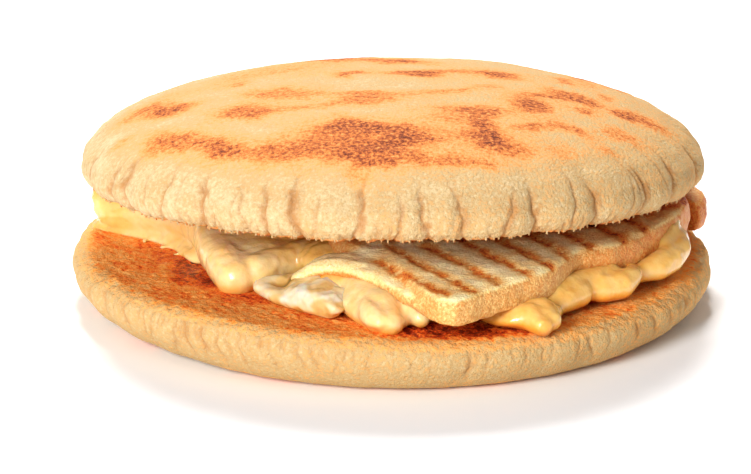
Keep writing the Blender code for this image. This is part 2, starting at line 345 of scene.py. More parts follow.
def crustMaterial(name, stops, swingGain, wet):
    material, shader = newMaterial(name, {
        "Roughness": crust["dry"], "IOR": 1.4, "Subsurface Weight": 0.1, "Subsurface Scale": 0.002,
        "Subsurface Radius": (1.0, 0.55, 0.28), "Specular IOR Level": 0.25,
    })
    place = addNode(material, "ShaderNodeTexCoord").outputs["Object"]
    heat = addNode(material, "ShaderNodeAttribute", {"attribute_name": "browning"}).outputs["Fac"]
    creaseShadeAndTint = addNode(material, "ShaderNodeAttribute", {"attribute_name": "creaseShadeAndTint"}).outputs["Fac"]
    # grains of about 0.5 mm, drawn near 1 mm so that they show
    speckle = addNode(
        material, "ShaderNodeTexNoise",
        {"Scale": perMetre(crust["speckle"]), "Detail": 3.0, "Roughness": 0.72}, {"Vector": place},
    ).outputs["Fac"]
    velvet = addNode(
        material, "ShaderNodeTexNoise",
        {"Scale": perMetre(crust["velvet"]), "Detail": 2.0, "Roughness": 0.6}, {"Vector": place},
    ).outputs["Fac"]
    # the speckle swings the colour most where the crust is hot
    swing = addNode(material, "ShaderNodeMath", {"operation": "SUBTRACT", 1: 0.5}, {0: speckle}).outputs[0]
    gain = addNode(
        material, "ShaderNodeMath",
        {"operation": "MULTIPLY_ADD", 1: swingGain, 2: crust["leastSwing"]}, {0: heat},
    ).outputs[0]
    total = addNode(
        material, "ShaderNodeMath", {"operation": "MULTIPLY_ADD"}, {0: swing, 1: gain, 2: heat}
    ).outputs[0]
    baked = addNode(material, "ShaderNodeValToRGB", links={"Fac": total}, stops=stops).outputs["Color"]
    # creases get painted shade in their grooves and a browner tint beside them
    share = addNode(
        material, "ShaderNodeMath", {"operation": "MULTIPLY", 1: crust["tintShare"]}, {0: creaseShadeAndTint}
    ).outputs[0]
    tinted = addNode(
        material, "ShaderNodeMix",
        {"data_type": "RGBA", 7: linearColour(crust["creaseShadeTint"])}, {0: share, 6: baked},
    ).outputs[2]
    material.node_tree.links.new(tinted, shader.inputs["Base Color"])
    if wet:
        damp = addNode(material, "ShaderNodeAttribute", {"attribute_name": "wet"}).outputs["Fac"]
        gloss = addNode(
            material, "ShaderNodeMapRange", {"To Min": crust["dry"], "To Max": crust["damp"]}, {"Value": damp}
        ).outputs[0]
        material.node_tree.links.new(gloss, shader.inputs["Roughness"])
    coarse = addNode(
        material, "ShaderNodeBump",
        {"Strength": 1.0, "Distance": crust["speckleDepth"] * mm}, {"Height": speckle},
    ).outputs[0]
    skin = addNode(
        material, "ShaderNodeBump", {"Strength": 1.0, "Distance": crust["velvetDepth"] * mm},
        {"Height": velvet, "Normal": coarse},
    ).outputs[0]
    material.node_tree.links.new(skin, shader.inputs["Normal"])
    return material


upperHalf = {
    "cell": 0.95, "smoothing": 3, "fineBelow": 13.0, "fineBeyond": 64.0, "sideRadius": 73.0,
    # creases, as (angle from the front, depth): the solid's own, then finer ones
    "creaseLines": (
        (-63, 0.9), (-56, 0.9), (-46, 0.7), (-37, 1.3), (-28, 0.6), (-16, 0.9), (-7, 1.2), (7, 0.9),
        (14, 0.8), (27, 1.4), (40, 1.3), (54, 1.2), (63, 0.9),
    ),
    "fineCreases": (
        (-61, 0.4), (-50.6, 0.5), (-41, 0.4), (-30, 0.4), (-22.7, 0.9), (-14, 0.5), (0.6, 0.9), (10, 0.3),
        (20.3, 0.8), (34.1, 0.7), (47.9, 0.5), (51.6, 0.6), (60.8, 0.5), (78, 0.5), (-84, 0.5),
    ),
    # the first crease tint below is painted shade in the grooves, the second a browner tint beside them
    "creaseReach": 17.0, "creaseDepth": 0.66, "valleyDepth": 0.08, "creaseShadeTint": 0.95, "valleyTint": 0.85,
    "lumps": 0.25, "velvet": 0.08, "wrinkle": 0.16, "ragged": 0.5, "tearLimits": (-0.3, 0.8),
    # browning, from 0 for raw to 1 for burnt
    "tone": 0.12, "domeTone": 0.03, "toneSwing": 0.07, "toneAndShadeSlope": 0.0008, "cutTone": 0.45, "lipToastAndShade": 0.86,
    "softening": 0.41, "scorchSwing": 0.3, "halo": 0.2, "haloSpread": 1.8,
    # where the griddle caught it, as (x, y, half length, half width, turn, heat)
    "scorches": (
        (-57, -4, 6, 5, -40, 0.75), (-52, -11, 7, 4.5, -35, 0.95), (-45, 5, 14, 6, 10, 0.22),
        (-35, 2, 2.6, 3.6, 0, 0.5), (-25, -14, 9, 6, -20, 0.7), (-6, -18.5, 11, 2.4, 0, 0.62),
        (-6, -23.5, 8, 3.6, 5, 0.66), (-20, -27, 11, 2.6, 0, 0.5), (-34, -26, 7, 4.5, -25, 0.85),
        (-50, -34, 8, 5, -30, 0.78), (-41, -42, 8, 4, -42, 0.78), (-36, -46, 6, 3, -15, 0.85),
        (-25, -51, 13, 4.2, -14, 0.8), (-12, -44, 11, 6.5, 5, 0.8), (-6, -43, 9, 4.5, -8, 0.95),
        (-8, -53, 14, 6, -5, 0.85), (-2, -53, 7, 4.5, 30, 0.95), (5, -47, 8, 5, -8, 0.85),
        (-3, -59, 5, 2.4, 0, 0.9), (9, -57.5, 10, 2.7, 0, 0.62), (19, -58, 5, 2, 5, 0.45),
        (18, -30, 9, 3.4, 8, 0.7), (21, -38, 4.8, 8, 0, 0.78), (21, -47, 6.5, 6, -20, 1.0),
        (12, -36, 5, 4, 20, 0.4), (28, -49, 4.5, 3, 10, 0.42), (32, -21, 4.6, 5.5, -20, 0.85),
        (30, -16, 3, 5, 0, 0.5), (40, -9, 6, 5, -15, 0.75), (45, -12, 3.4, 3, 0, 0.78),
        (44, -20, 2.6, 2.6, 0, 0.65), (35, -12, 5, 2, 0, 0.55), (56, -12, 6, 4, 25, 0.7),
        (52, -14, 3, 2.4, 0, 0.7), (61, -15, 3, 4, 0, 0.42), (13, -15, 8, 2.6, 12, 0.5),
        (22, -8, 4, 2.4, 38, 0.42), (5, 4, 7, 4.4, -5, 0.92), (12, 8, 11, 3.2, 8, 0.6),
        (25, 8.5, 5, 6, 20, 0.9), (-9, 5, 4, 3.6, 20, 0.75), (-12, 1, 2, 3, 0, 0.5),
        (40, 12, 3, 5, 10, 0.6), (46, 18, 3, 8, 10, 0.35), (50, 0, 2.6, 3, 30, 0.6),
        (-62, -22, 3.2, 2.6, 0, 0.42), (52, -29, 4.2, 3, 0, 0.5), (32, -37, 4.2, 3, 15, 0.55),
        (40, -34, 6, 3, -20, 0.66), (39, -46, 4, 2.4, 0, 0.36), (49, -40, 2.4, 2, 0, 0.3),
        (-26, 17, 16, 10, 10, 0.36), (-8, -64, 3, 3, 0, 0.3),
    ),
    # behind the middle they follow a seeded rule
    "unseenScorches": 26, "unseenAcross": (-60, 60), "unseenBack": (24, 66), "unseenWithin": 62,
    "unseenLength": (3, 10), "unseenWidth": (2, 5), "unseenTurn": (-40, 40), "unseenHeat": (0.35, 0.95),
}


def upperPlaces(places):
    # the points as the upper half lay before it was tilted
    turn = Matrix.Rotation(math.radians(tilt["degrees"]), 3, "X")
    return (places - np.array(tilt["centre"])) @ np.array(turn).T


def allScorches():
    chance = random.Random(12)
    unseen = []
    while len(unseen) < upperHalf["unseenScorches"]:
        x, y = chance.uniform(*upperHalf["unseenAcross"]), chance.uniform(*upperHalf["unseenBack"])
        if math.hypot(x, y) < upperHalf["unseenWithin"]:
            ranges = [upperHalf["unseen" + name] for name in ("Length", "Width", "Turn", "Heat")]
            unseen.append((x, y, *[chance.uniform(*limits) for limits in ranges]))
    return list(upperHalf["scorches"]) + unseen


def shapeUpperHalf(piece, flat, marks, near, side, topSide):
    # relief: soft lumps and creases down the side, wrinkles on the dome, torn crumb along the cut
    places, outward = placesOf(piece), outwardOf(piece)
    height = flat[:, 2]
    move = upperHalf["lumps"] * side * grain(places, (4.5, 4.5, 9.0), seed=3)
    move -= upperHalf["creaseDepth"] * marks + upperHalf["valleyDepth"] * side * near
    move += upperHalf["velvet"] * grain(places, 1.3, seed=1)
    move += upperHalf["wrinkle"] * topSide * grain(places, (9.0, 1.9, 9.0), seed=2)
    places += outward * move[:, None]
    rim = softStep(np.hypot(flat[:, 0], flat[:, 1]), 66, 69) * (1.0 - softStep(height, 0.8, 2.6))
    torn = 0.25 + grain(places, 0.95, seed=4) + 0.4 * grain(places, 3.0, seed=5)
    places[:, 2] -= np.clip(upperHalf["ragged"] * rim * torn, *upperHalf["tearLimits"])
    setPlaces(piece, places)
    return places


def makeUpperHalf():
    piece = finerCopy("bread_top", "upperHalf", upperHalf["cell"], upperHalf["smoothing"])

    def onSide(centres):
        flat = upperPlaces(centres)
        outside = np.hypot(flat[:, 0], flat[:, 1]) > upperHalf["fineBeyond"]
        return outside & (flat[:, 2] < upperHalf["fineBelow"])

    halveFaces(piece, onSide)
    flat = upperPlaces(placesOf(piece))
    angle = np.degrees(np.arctan2(flat[:, 0], -flat[:, 1]))
    height = flat[:, 2]
    marks, near = creaseMarks(
        angle, height, upperHalf["sideRadius"], allCreases(upperHalf["creaseLines"], seed=5),
        upperHalf["fineCreases"], upperHalf["creaseReach"], seed=21,
    )
    side = softStep(np.hypot(flat[:, 0], flat[:, 1]), 56, 66) * softStep(height, -0.5, 0.5)
    marks *= side
    topSide = softStep(height, 8, 16)
    places = shapeUpperHalf(piece, flat, marks, near, side, topSide)

    # scorches with wandering edges, each in a paler halo
    x = flat[:, 0] + 2.6 * grain(places, 7.0, seed=6) + 1.2 * grain(places, 2.4, seed=26)
    y = flat[:, 1] + 2.6 * grain(places, 7.0, seed=7) + grain(places, 2.4, seed=27)
    scorches = allScorches()
    spread = upperHalf["haloSpread"]
    halos = [
        (*centre, length * spread, width * spread, turned, hot)
        for *centre, length, width, turned, hot in scorches
    ]
    heat = upperHalf["softening"] * patches(x, y, scorches)
    heat *= 1.0 + upperHalf["scorchSwing"] * grain(places, (4.0, 1.6, 4.0), seed=40)
    heat += upperHalf["halo"] * patches(x, y, halos)
    warm = upperHalf["tone"] + upperHalf["domeTone"] * topSide
    # browner to the right: partly baked colour, partly painted shade where the light falls off
    warm += upperHalf["toneSwing"] * grain(places, 7.0, seed=9) + upperHalf["toneAndShadeSlope"] * flat[:, 0]
    heat = warm + heat * softStep(height, 8, 13)
    # the cut's toasted lip is a thin dark line, partly painted shade under the rim
    cutFace = 1.0 - softStep(height, 0.2, 0.9)
    heat += upperHalf["cutTone"] * cutFace * softStep(grain(places, 5.0, seed=8), -0.5, 0.3)
    lip = 1.0 - softStep(height + 0.25 * grain(places, 1.3, seed=28), 0.0, 0.5)
    heat = np.maximum(heat, upperHalf["lipToastAndShade"] * lip)
    paint(piece, "browning", heat)
    # painted shade along each crease's groove, and a browner tint in a wider band beside it
    tint = softStep(near, 0.25, 0.9) * softStep(grain(places, 2.6, seed=10), -0.3, 0.35)
    paint(piece, "creaseShadeAndTint", np.maximum(upperHalf["creaseShadeTint"] * marks, upperHalf["valleyTint"] * side * tint))
    material = crustMaterial("griddledFlatbreadCrust", crust["heatStops"], 2.2, wet=False)
    finish(piece, "bread_top", material)
    return piece, material


lowerHalf = {
    "cell": 0.95, "smoothing": 3, "fineBeyond": 58.0, "fineSideBeyond": 70.0, "fineFront": 20.0,
    "fineFace": 10.0, "fineFoot": 1.2, "sideRadius": 75.0, "sideTop": 13.0,
    # creases, as (angle from the front, depth): the solid's own, then finer ones
    "creaseLines": (
        (-74, 0.6), (-62, 0.9), (-50, 0.6), (-39, 1.2), (-30, 0.5), (-17, 0.6), (-2, 0.4), (12, 0.8),
        (26, 0.5), (38, 0.8), (55, 0.8), (66, 1.0), (77, 0.7),
    ),
    "fineCreases": (
        (-68.7, 0.7), (-55.2, 0.8), (-47.6, 0.6), (-41.7, 0.7), (-35.4, 1.2), (-32.2, 0.6), (-27.7, 0.5),
        (-22, 0.5), (-13.8, 0.6), (-9, 0.4), (2.5, 0.4), (6.5, 0.4), (17, 0.5), (23.5, 0.5), (29.4, 0.4),
        (35, 0.6), (41.3, 0.5), (48.7, 0.9), (59, 0.7), (63.4, 0.6), (71, 0.6),
    ),
    # the first crease tint below is painted shade in the grooves, the second a browner tint beside them
    "creaseReach": 12.0, "creaseDepth": 0.62, "valleyDepth": 0.12, "creaseShadeTint": 0.8, "valleyTint": 0.6,
    "lumps": 0.2, "velvet": 0.07, "crumb": 0.35, "streakTurn": -50.0,
    "faceRadius": 71.4, "faceEdge": (-1.4, 1.2), "edgeWander": 1.4, "edgeTear": 1.3, "edgeCrumb": 0.8,
    # browning, from 0 for raw to 1 for burnt
    "tone": 0.13, "toneSwing": 0.05, "toneAndShadeSlope": 0.0004, "toast": 0.33, "palerRight": 0.12, "deeper": 0.38,
    "streaks": 0.2, "pits": 0.13, "specks": 0.1, "leastToast": 0.34, "leastSwing": 0.06,
    "fringe": 0.1, "fringeRight": 0.05, "foot": 0.22, "underside": 0.4,
    # deeper colour on the cut face, the one at (12, -62) partly painted shadow under the slice's corner, as
    # (x, y, half length, half width, turn, heat)
    "darker": (
        (-55, -8, 10, 8, -20, 0.3), (-46, -19, 6, 10, -15, 0.8), (-41, -26, 8, 9, 25, 1.0),
        (-34, -41, 9, 4, -20, 0.4), (12, -62, 18, 6.5, 0, 1.0), (30, -55, 8, 6, 30, 0.3),
        (-12, 0, 40, 45, 0, 0.5),
    ),
    "wetPlaces": ((-48, -18, 7, 14, 20, 1.0), (-42, -34, 9, 6, -20, 0.8), (14, -62, 18, 7, 0, 0.7)),
}


def toastedHeat(places, outward, radius, toasted, pits):
    # how brown the lower half is: pale sides, a streaked red-brown cut face, a scorched underside
    x, y, z = places.T
    warpX, warpY = (1.8 * grain(places, 5.0, seed=seed) for seed in (18, 19))
    deeper = patches(x + warpX, y + warpY, lowerHalf["darker"])
    # streaks where it dragged across the griddle, running down to the right
    c, s = math.cos(math.radians(lowerHalf["streakTurn"])), math.sin(math.radians(lowerHalf["streakTurn"]))
    along = np.column_stack((x * c + y * s, y * c - x * s, z))
    streaks = grain(along, (6.0, 1.3, 3.0), seed=20) + 0.6 * grain(places, (9.0, 6.0, 9.0), seed=30)
    specks = softStep(grain(places, 1.1, seed=25), 0.25, 0.5)
    toast = lowerHalf["toast"] - lowerHalf["palerRight"] * softStep(x, 30, 55) + lowerHalf["deeper"] * deeper
    # the crumb's hollows get more toast and its raised bits less: painted shade in the hollows
    toast += lowerHalf["streaks"] * streaks - lowerHalf["pits"] * pits - lowerHalf["specks"] * specks
    heat = lowerHalf["tone"] + lowerHalf["toneSwing"] * grain(places, 9.0, seed=23)
    # browner to the right: partly baked colour, partly painted shade where the light falls off
    heat += lowerHalf["toneAndShadeSlope"] * x + toasted * toast
    least = lowerHalf["leastToast"] + lowerHalf["leastSwing"] * grain(places, 2.4, seed=33)
    heat = np.maximum(heat, toasted * least)
    # a golden fringe between the toasted face and the pale side
    fringe = lowerHalf["fringe"] - lowerHalf["fringeRight"] * softStep(x, 35, 60)
    heat += fringe * (1.0 - toasted) * softStep(outward[:, 2], 0.4, 0.75) * softStep(radius, 62, 68)
    scorched = softStep(grain(places, (14.0, 10.0, 9.0), seed=22), -0.1, 0.6)
    underside = lowerHalf["underside"] * scorched * (1.0 - softStep(outward[:, 2], -0.98, -0.75))
    foot = lowerHalf["foot"] * (1.0 - softStep(z + 0.3 * grain(places, 2.0, seed=29), 0.2, 1.2))
    return np.maximum(heat, lowerHalf["tone"] + np.maximum(foot, underside))


def makeLowerHalf():
    piece = finerCopy("bread_bottom", "lowerHalf", lowerHalf["cell"], lowerHalf["smoothing"])

    def onRim(centres):
        x, y, z = centres.T
        away = np.hypot(x, y)
        frontFace = (y < lowerHalf["fineFront"]) & (z > lowerHalf["fineFace"])
        side = (z > lowerHalf["fineFoot"]) & (away > lowerHalf["fineSideBeyond"])
        return (away > lowerHalf["fineBeyond"]) & (frontFace | side)

    halveFaces(piece, onRim)
    places, outward = placesOf(piece), outwardOf(piece)
    radius = np.hypot(places[:, 0], places[:, 1])
    angle = np.degrees(np.arctan2(places[:, 0], -places[:, 1]))
    height = places[:, 2]
    faceUp = softStep(outward[:, 2], 0.35, 0.8)
    below = np.clip(lowerHalf["sideTop"] - height, 0.0, 20.0)
    marks, near = creaseMarks(
        angle, below, lowerHalf["sideRadius"], allCreases(lowerHalf["creaseLines"], seed=11),
        lowerHalf["fineCreases"], lowerHalf["creaseReach"], seed=31,
    )
    clear = softStep(height, 0.3, 1.5)
    side = softStep(radius, 60, 69) * (1.0 - faceUp) * clear
    marks *= side
    move = lowerHalf["lumps"] * side * grain(places, (5.0, 5.0, 9.0), seed=13)
    move -= lowerHalf["creaseDepth"] * marks + lowerHalf["valleyDepth"] * side * near
    move += clear * lowerHalf["velvet"] * grain(places, 1.3, seed=11)
    # open crumb on the cut face
    face = faceUp * softStep(height, 8, 10)
    pits = grain(places, 1.6, seed=12) + 0.6 * grain(places, 0.9, seed=15)
    move += face * lowerHalf["crumb"] * pits * softStep(radius, 20, 40)
    places += outward * move[:, None]
    places[:, 2] = np.maximum(places[:, 2], 0.0)
    setPlaces(piece, places)

    ragged = lowerHalf["edgeWander"] * grain(places, 5.0, seed=16)
    ragged += lowerHalf["edgeTear"] * grain(places, 1.7, seed=17)
    ragged += lowerHalf["edgeCrumb"] * grain(places, 0.9, seed=14)
    inner, outer = (lowerHalf["faceRadius"] + past for past in lowerHalf["faceEdge"])
    toasted = face * (1.0 - softStep(radius + ragged, inner, outer))
    paint(piece, "browning", toastedHeat(places, outward, radius, toasted, pits))
    # painted shade along each crease's groove, and a browner tint in a wider band beside it
    tint = softStep(near, 0.25, 0.9) * softStep(grain(places, 2.6, seed=24), -0.3, 0.35)
    paint(piece, "creaseShadeAndTint", np.maximum(lowerHalf["creaseShadeTint"] * marks, lowerHalf["valleyTint"] * side * tint))
    paint(piece, "wet", toasted * patches(places[:, 0], places[:, 1], lowerHalf["wetPlaces"]))
    material = crustMaterial("toastedFlatbreadCrumb", crust["toastStops"], 1.3, wet=True)
    finish(piece, "bread_bottom", material)


# Griddled slice: firm and pale, seared on hot bars. Dark broken stripes with an orange halo, browned all over
# where it lay deepest, with painted shade there under the upper half's edge, and golden sides.

slices = {
    "smoothing": 8, "barTurn": -55.0,
    # lower ends of the stripes, as (x, y, length)
    "stripeEnds": (
        (13, -72, 34), (19, -69.5, 38), (25, -64, 34), (31.5, -58, 32), (38, -54, 30), (43, -48, 28),
        (49, -43, 26), (54, -34, 22), (59, -27, 16),
    ),
    "stripeHalf": 1.15, "haloHalf": 2.2, "grooveDepth": 0.35, "bubbles": 0.24, "lumps": 0.45,
    # browning, from 0 for raw to 1 for charred
    "halo": 0.22, "sear": 0.45, "seared": 0.6, "mottled": 0.1, "side": 0.32, "sideSwing": 0.05,
    "leftEndShade": 0.42, "drapeTone": 0.1, "drapeUndersideShade": 0.35, "backSide": 0.05,
    "searAndShadeFrom": -37.0, "bend": 0.006, "rightSearAndShade": 0.14,
    "backTone": 0.16, "backSeared": 0.5, "backSwing": 0.2,
    "leastSwing": 0.2, "swingGain": 1.7, "fine": 0.6, "fineDepth": 0.4, "dry": 0.5, "damp": 0.16,
    "stops": (
        (0.0, "#fff0ba"), (0.14, "#ffdc92"), (0.34, "#e0a052"), (0.5, "#e08838"), (0.66, "#cb6022"),
        (0.82, "#963612"), (1.0, "#5a1a0a"),
    ),
}

slicePieces = (
    {"node": "grilled_slice", "piece": "grilledSlice", "cell": 0.55, "stripeShift": (0, 0, 0)},
    {"node": "grilled_slice_back", "piece": "backSlice", "cell": 0.6, "stripeShift": (0, -61, 0)},
)

# skin of melted cheese that drapes from the slice's left end down over the white curd
drape = {
    "turn": -25.0, "folds": 0.5,
    "runs": (
        run([(-21.5, -42.6, 18.2, 1.7), (-18.5, -42.4, 19.8, 2.2), (-15, -43.0, 21.0, 2.5),
             (-11, -45.0, 21.8, 2.6), (-7, -49, 22.0, 2.7), (-2, -54.5, 21.2, 2.3),
             (3, -61, 20.2, 1.9), (8, -67, 19.4, 1.6)], 0.9),
        run([(-18, -38.6, 19.8, 1.6), (-14, -39.6, 21.4, 2.4), (-9, -43, 22.4, 3.0), (-3, -49, 22.4, 3.0),
             (2, -56, 21.6, 2.6)], 0.7),
    ),
}


def stripeMarks(places):
    # the sear of each bar and the wider halo round it
    sear, halo = np.zeros(len(places)), np.zeros(len(places))
    c, s = math.cos(math.radians(slices["barTurn"])), math.sin(math.radians(slices["barTurn"]))
    wander = 0.5 * grain(places, 5.0, seed=31) + 0.45 * grain(places, 1.7, seed=32)
    for x, y, length in slices["stripeEnds"]:
        back = -((places[:, 0] - x) * c + (places[:, 1] - y) * s)
        across = -(places[:, 0] - x) * s + (places[:, 1] - y) * c + wander
        along = softStep(back, -1.0, 2.5) * (1.0 - softStep(back, length - 6, length))
        sear = np.maximum(sear, along * np.exp(-((across / slices["stripeHalf"]) ** 2)))
        halo = np.maximum(halo, along * np.exp(-((across / slices["haloHalf"]) ** 2)))
    return sear, halo


def sliceMaterial():
    material, shader = newMaterial("searedFirmSlice", {
        "Roughness": slices["dry"], "IOR": 1.42, "Subsurface Weight": 0.2, "Subsurface Scale": 0.003,
        "Subsurface Radius": (1.0, 0.6, 0.3), "Coat Weight": 0.12, "Coat Roughness": 0.3,
    })
    place = addNode(material, "ShaderNodeTexCoord").outputs["Object"]
    heat = addNode(material, "ShaderNodeAttribute", {"attribute_name": "browning"}).outputs["Fac"]
    fine = addNode(
        material, "ShaderNodeTexNoise", {"Scale": perMetre(slices["fine"]), "Detail": 3.0, "Roughness": 0.65},
        {"Vector": place},
    ).outputs["Fac"]
    # the fine grain swings the colour most where the slice is browned
    swing = addNode(material, "ShaderNodeMath", {"operation": "SUBTRACT", 1: 0.5}, {0: fine}).outputs[0]
    gain = addNode(
        material, "ShaderNodeMath",
        {"operation": "MULTIPLY_ADD", 1: slices["swingGain"], 2: slices["leastSwing"]}, {0: heat},
    ).outputs[0]
    total = addNode(
        material, "ShaderNodeMath", {"operation": "MULTIPLY_ADD"}, {0: swing, 1: gain, 2: heat}
    ).outputs[0]
    seared = addNode(
        material, "ShaderNodeValToRGB", links={"Fac": total}, stops=slices["stops"]
    ).outputs["Color"]
    material.node_tree.links.new(seared, shader.inputs["Base Color"])
    damp = addNode(material, "ShaderNodeAttribute", {"attribute_name": "wet"}).outputs["Fac"]
    gloss = addNode(
        material, "ShaderNodeMapRange", {"To Min": slices["dry"], "To Max": slices["damp"]}, {"Value": damp}
    ).outputs[0]
    material.node_tree.links.new(gloss, shader.inputs["Roughness"])
    skin = addNode(
        material, "ShaderNodeBump", {"Strength": 1.0, "Distance": slices["fineDepth"] * mm}, {"Height": fine}
    ).outputs[0]
    material.node_tree.links.new(skin, shader.inputs["Normal"])
    return material


def sliceHeat(places, outward, sear, halo, draped, isBack):
    # stripes, a seared back partly painted as shade, golden sides, the drape's pale yellow with painted shade
    # below
    x, y, z = places.T
    up = softStep(outward[:, 2], 0.3, 0.8)
    if isBack:
        deep = slices["backSeared"] + slices["backSwing"] * grain(places, 4.0, seed=40)
        tone = slices["backTone"]
    else:
        # the seared back starts near the upper half's edge: partly seared, partly painted shade under it
        start = slices["searAndShadeFrom"] + slices["bend"] * x * x
        deep = softStep(y - start + 1.8 * grain(places, 3.0, seed=37), -2.0, 2.5)
        # browner to the right: partly seared colour, partly painted shade where the light falls off
        tone = slices["rightSearAndShade"] * softStep(x, 34, 62)
    top = tone + slices["halo"] * halo + slices["sear"] * sear
    top += slices["seared"] * deep * (0.75 + 0.35 * grain(places, 2.2, seed=38))
    top += slices["mottled"] * softStep(grain(places, 5.0, seed=46), -0.2, 0.5)
    wall = tone + slices["side"] + slices["backSide"] * isBack
    wall += slices["sideSwing"] * grain(places, 3.0, seed=45)
    heat = top * up + (1 - up) * wall
    # painted shade on the hidden left end, golden where the cheese runs up to it and shades it
    heat = np.maximum(heat, slices["leftEndShade"] * softStep(-x, 4.0, 8.0) * softStep(y, -43, -38))
    # painted shade on the drape's downward faces
    under = slices["drapeUndersideShade"] * (1.0 - softStep(outward[:, 2], -0.5, 0.1))
    return heat * (1 - draped) + draped * (slices["drapeTone"] + under)


def makeSlices():
    material = sliceMaterial()
    for each in slicePieces:
        isBack = each["piece"] == "backSlice"
        blobs = [] if isBack else [blob for part in drape["runs"] for blob in part]
        piece = finerCopy(each["node"], each["piece"], each["cell"], slices["smoothing"], blobs)
        places, outward = placesOf(piece), outwardOf(piece)
        x, y, z = places.T
        # how far each point is out on the drape, left of the slice's own edge
        draped = softStep(-(x + 0.45 * (y + 47)), 6.0, 9.5) * softStep(-y, 34, 38)
        sear, halo = stripeMarks(places + np.array(each["stripeShift"]))
        broken = softStep(grain(places, 1.8, seed=33) + 0.5 * grain(places, 0.9, seed=34), -0.6, 0.3)
        move = slices["bubbles"] * (grain(places, 1.7, seed=35) + 0.6 * grain(places, 0.9, seed=36))
        move += slices["lumps"] * grain(places, 5.0, seed=39)
        move -= slices["grooveDepth"] * sear * softStep(outward[:, 2], 0.3, 0.8)
        c, s = math.cos(math.radians(drape["turn"])), math.sin(math.radians(drape["turn"]))
        along = np.column_stack((x * c + y * s, y * c - x * s, z))
        move = move * (1 - draped) + draped * drape["folds"] * grain(along, (9.0, 1.7, 1.7), seed=71)
        places += outward * move[:, None]
        setPlaces(piece, places)
        paint(piece, "browning", sliceHeat(places, outward, sear * broken, halo, draped, isBack))
        paint(piece, "wet", draped)
        finish(piece, each["node"], material)


# Melted cheese: fat-rich and glossy, it ran and set. Soft pale yellow that glows at thin edges,
# with golden depths, much of them painted shade, bubbled highlights and no hard edge anywhere.

cheese = {
    "cell": 0.55, "smoothing": 9, "soft": 0.25, "ripple": 0.22, "filmFolds": 0.5, "filmLumps": 0.4,
    "cloud": 4.0, "cloudSwing": 0.5, "fine": 2.0, "fineDepth": 0.5, "paleness": 0.08,
    "stops": ((0.0, "#f6da9e"), (0.25, "#efc06c"), (0.5, "#e8a33c"), (0.75, "#d07c28"), (1.0, "#a25216")),
}

cheeseRuns = {
    "cheeseLeft": (
        # the large drip in front, and the ridge that joins it from the right
        run([(-42, -6, 17.0, 4.4), (-40, -20, 17.6, 4.8), (-38.0, -29, 17.0, 4.9),
             (-35.8, -34.6, 15.8, 4.8)]),
        run([(-17, -24, 19.4, 3.4), (-24, -29, 18.4, 3.6), (-31, -33, 16.8, 4.4)]),
        # the slab behind them
        [((-29, -24, 17.6), (14, 10, 4.6)), ((-27, -12, 18.4), (19, 16, 6.2)),
         ((-13, -29, 19.2), (9, 9, 4.4))],
        # the film over the toast, thicker where it leans on the upper half at the far left
        run([(-67.5, 12.5, 13.1, 3.4), (-62.5, 11, 13.2, 4.2), (-57, 8, 13.3, 4.6), (-51.5, 4, 13.3, 5.0),
             (-47, -2, 13.4, 5.0), (-44, -11, 13.4, 4.2)], 0.34),
        [((-65.8, 14, 18.0), (3.4, 7, 4.4)), ((-66.2, 17, 15.4), (3.8, 7, 2.6)),
         ((-66.6, 21, 14.2), (3.6, 6, 1.6))],
        # drops beside the film's edge
        [((-58.0, 1.2, 13.2), (0.8, 0.7, 0.6)), ((-53.6, -3.4, 13.2), (1.1, 0.7, 0.6)),
         ((-50.4, -8.4, 13.2), (0.8, 0.8, 0.6))],
    ),
    "cheeseUnder": (
        # the broad drip left of the slice's corner
        run([(-9, -47, 17.8, 3.2), (-6, -53, 17.0, 4.2), (-2, -59, 16.2, 4.5), (-0.5, -64.5, 14.8, 3.2)]),
        run([(-10, -52, 15.6, 2.6), (-6, -58, 15.2, 3.2), (-3, -63, 14.6, 3.0)]),
        run([(-5, -48, 18.2, 2.8), (0, -55, 17.6, 2.9), (4, -60, 16.6, 2.6)]),
        run([(4, -58, 15.4, 2.4), (6.5, -61, 14.6, 2.1)]),
        # fills the hollow between the fold, the curd and the slice
        [((-12, -44, 17.0), (6.0, 5.0, 3.8))],
        # the drips along the right, from the slice's corner to the far end
        run([(18, -55, 14.2, 1.6), (25, -58.5, 14.8, 2.6), (31, -61, 15.2, 3.3), (33.8, -65, 14.2, 2.4)]),
        run([(28, -57, 15.2, 2.8), (34, -58.5, 15.6, 3.4), (35.8, -62.5, 14.8, 2.4)]),
        run([(36, -52, 15.0, 2.6), (39, -49, 15.4, 3.2), (42.5, -45.5, 15.6, 3.2)]),
        run([(37, -49, 17.4, 2.4), (44, -41, 17.6, 2.6), (50, -37, 17.8, 2.4)]),
        run([(44, -42.5, 15.4, 2.4), (48, -41, 15.6, 3.5), (52, -39, 15.8, 3.6), (54.8, -36.5, 16.8, 2.4),
             (55, -33, 17.4, 1.8)]),
        run([(57, -30, 15.8, 2.4), (61, -27, 16.2, 3.3), (64, -23, 16.8, 3.4), (66.4, -19, 18.0, 2.8),
             (66.6, -15, 19.5, 2.2)]),
        run([(62.5, -21.5, 20.0, 2.0), (64.5, -17, 21.8, 1.7), (65.5, -12, 23.0, 1.5)]),
    ),
}


